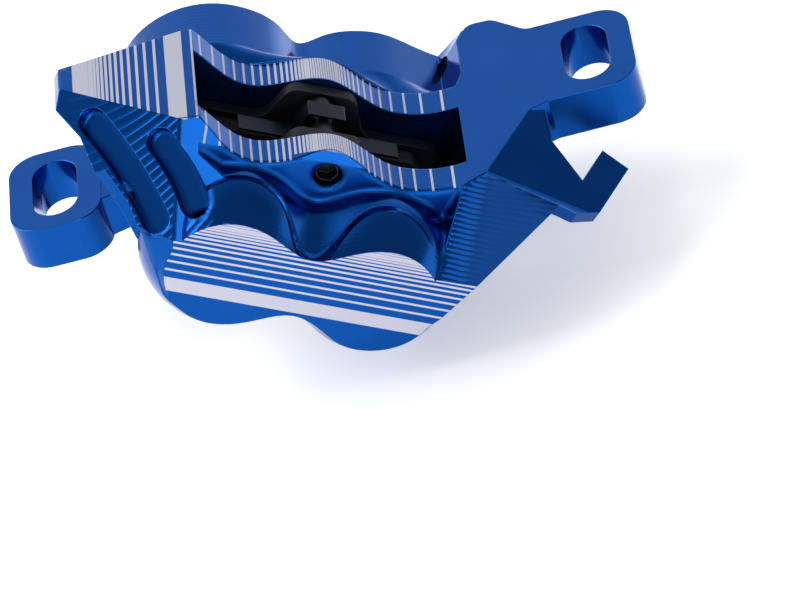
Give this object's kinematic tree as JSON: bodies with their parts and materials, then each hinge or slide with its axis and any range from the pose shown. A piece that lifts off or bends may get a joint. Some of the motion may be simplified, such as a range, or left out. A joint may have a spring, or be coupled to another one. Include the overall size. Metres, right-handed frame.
{
  "type": "bicycle disc brake caliper",
  "caption": "One-piece machined post-mount disc brake caliper with opposed pistons, pads on a cross pin, slotted ears and a wave-edged pad window.",
  "frame": {"origin": "midway between the centres of the two mounting slots, on the flat underside of the mounting ears", "axes": "+X towards the mounting ear beside the hook, +Y along the pistons from the lobed outer face to the bore caps, +Z along the mounting bolts, out of the ears' tops"},
  "size_m": [0.087, 0.0444, 0.0473],
  "materials": {
    "anodised_body": "blue anodised, milled",
    "anodised_cap": "blue anodised, turned",
    "piston_steel": "ground",
    "seal_rubber": "matte",
    "pad_plate": "black coated",
    "pad_lining": "pressed friction compound",
    "pin_steel": "black oxide",
    "spring_steel": "rolled strip",
    "plug_steel": "black oxide",
    "bleed_metal": "turned, zinc plated",
    "cap_rubber": "moulded, matte"
  },
  "bodies": {
    "caliper": {"caliper_body": "anodised_body", "outer_left_dust_seal": "seal_rubber", "outer_left_pressure_seal": "seal_rubber", "outer_right_dust_seal": "seal_rubber", "outer_right_pressure_seal": "seal_rubber", "inner_left_dust_seal": "seal_rubber", "inner_left_pressure_seal": "seal_rubber", "inner_right_dust_seal": "seal_rubber", "inner_right_pressure_seal": "seal_rubber", "left_bore_cap": "anodised_cap", "right_bore_cap": "anodised_cap", "left_cap_o_ring": "seal_rubber", "right_cap_o_ring": "seal_rubber", "pad_pin": "pin_steel", "pad_spring": "spring_steel", "passage_plug": "plug_steel"},
    "outer_left_piston_body": {"outer_left_piston": "piston_steel"},
    "outer_right_piston_body": {"outer_right_piston": "piston_steel"},
    "inner_left_piston_body": {"inner_left_piston": "piston_steel"},
    "inner_right_piston_body": {"inner_right_piston": "piston_steel"},
    "outer_pad": {"outer_pad_backing_plate": "pad_plate", "outer_pad_lining": "pad_lining"},
    "inner_pad": {"inner_pad_backing_plate": "pad_plate", "inner_pad_lining": "pad_lining"},
    "bleed_screw_body": {"bleed_screw": "bleed_metal"},
    "bleed_cap_body": {"bleed_rubber_cap": "cap_rubber"}
  },
  "joints": [
    {"name": "outer_left_piston_slide", "type": "slide", "parent": "caliper", "child": "outer_left_piston_body", "axis": [0, 1, 0], "range_m": [0, 0.0012]},
    {"name": "outer_right_piston_slide", "type": "slide", "parent": "caliper", "child": "outer_right_piston_body", "axis": [0, 1, 0], "range_m": [0, 0.0012]},
    {"name": "inner_left_piston_slide", "type": "slide", "parent": "caliper", "child": "inner_left_piston_body", "axis": [0, -1, 0], "range_m": [0, 0.0012]},
    {"name": "inner_right_piston_slide", "type": "slide", "parent": "caliper", "child": "inner_right_piston_body", "axis": [0, -1, 0], "range_m": [0, 0.0012]},
    {"name": "outer_pad_slide", "type": "slide", "parent": "caliper", "child": "outer_pad", "axis": [0, 1, 0], "range_m": [0, 0.0012]},
    {"name": "inner_pad_slide", "type": "slide", "parent": "caliper", "child": "inner_pad", "axis": [0, -1, 0], "range_m": [0, 0.0012]},
    {"name": "bleed_screw_turn", "type": "hinge", "parent": "caliper", "child": "bleed_screw_body", "pos_m": [-0.02218, 0.00705, -0.00523], "axis": [-0.512, 0, -0.859], "range_deg": [0, 180]},
    {"name": "bleed_cap_pull", "type": "slide", "parent": "bleed_screw_body", "child": "bleed_cap_body", "axis": [-0.512, 0, -0.859], "range_m": [0, 0.012]}
  ],
  "couplings": [
    {"joint": "outer_right_piston_slide", "follows": "outer_left_piston_slide", "ratio": 1},
    {"joint": "inner_left_piston_slide", "follows": "outer_left_piston_slide", "ratio": 1},
    {"joint": "inner_right_piston_slide", "follows": "outer_left_piston_slide", "ratio": 1},
    {"joint": "outer_pad_slide", "follows": "outer_left_piston_slide", "ratio": 1},
    {"joint": "inner_pad_slide", "follows": "outer_left_piston_slide", "ratio": 1}
  ]
}
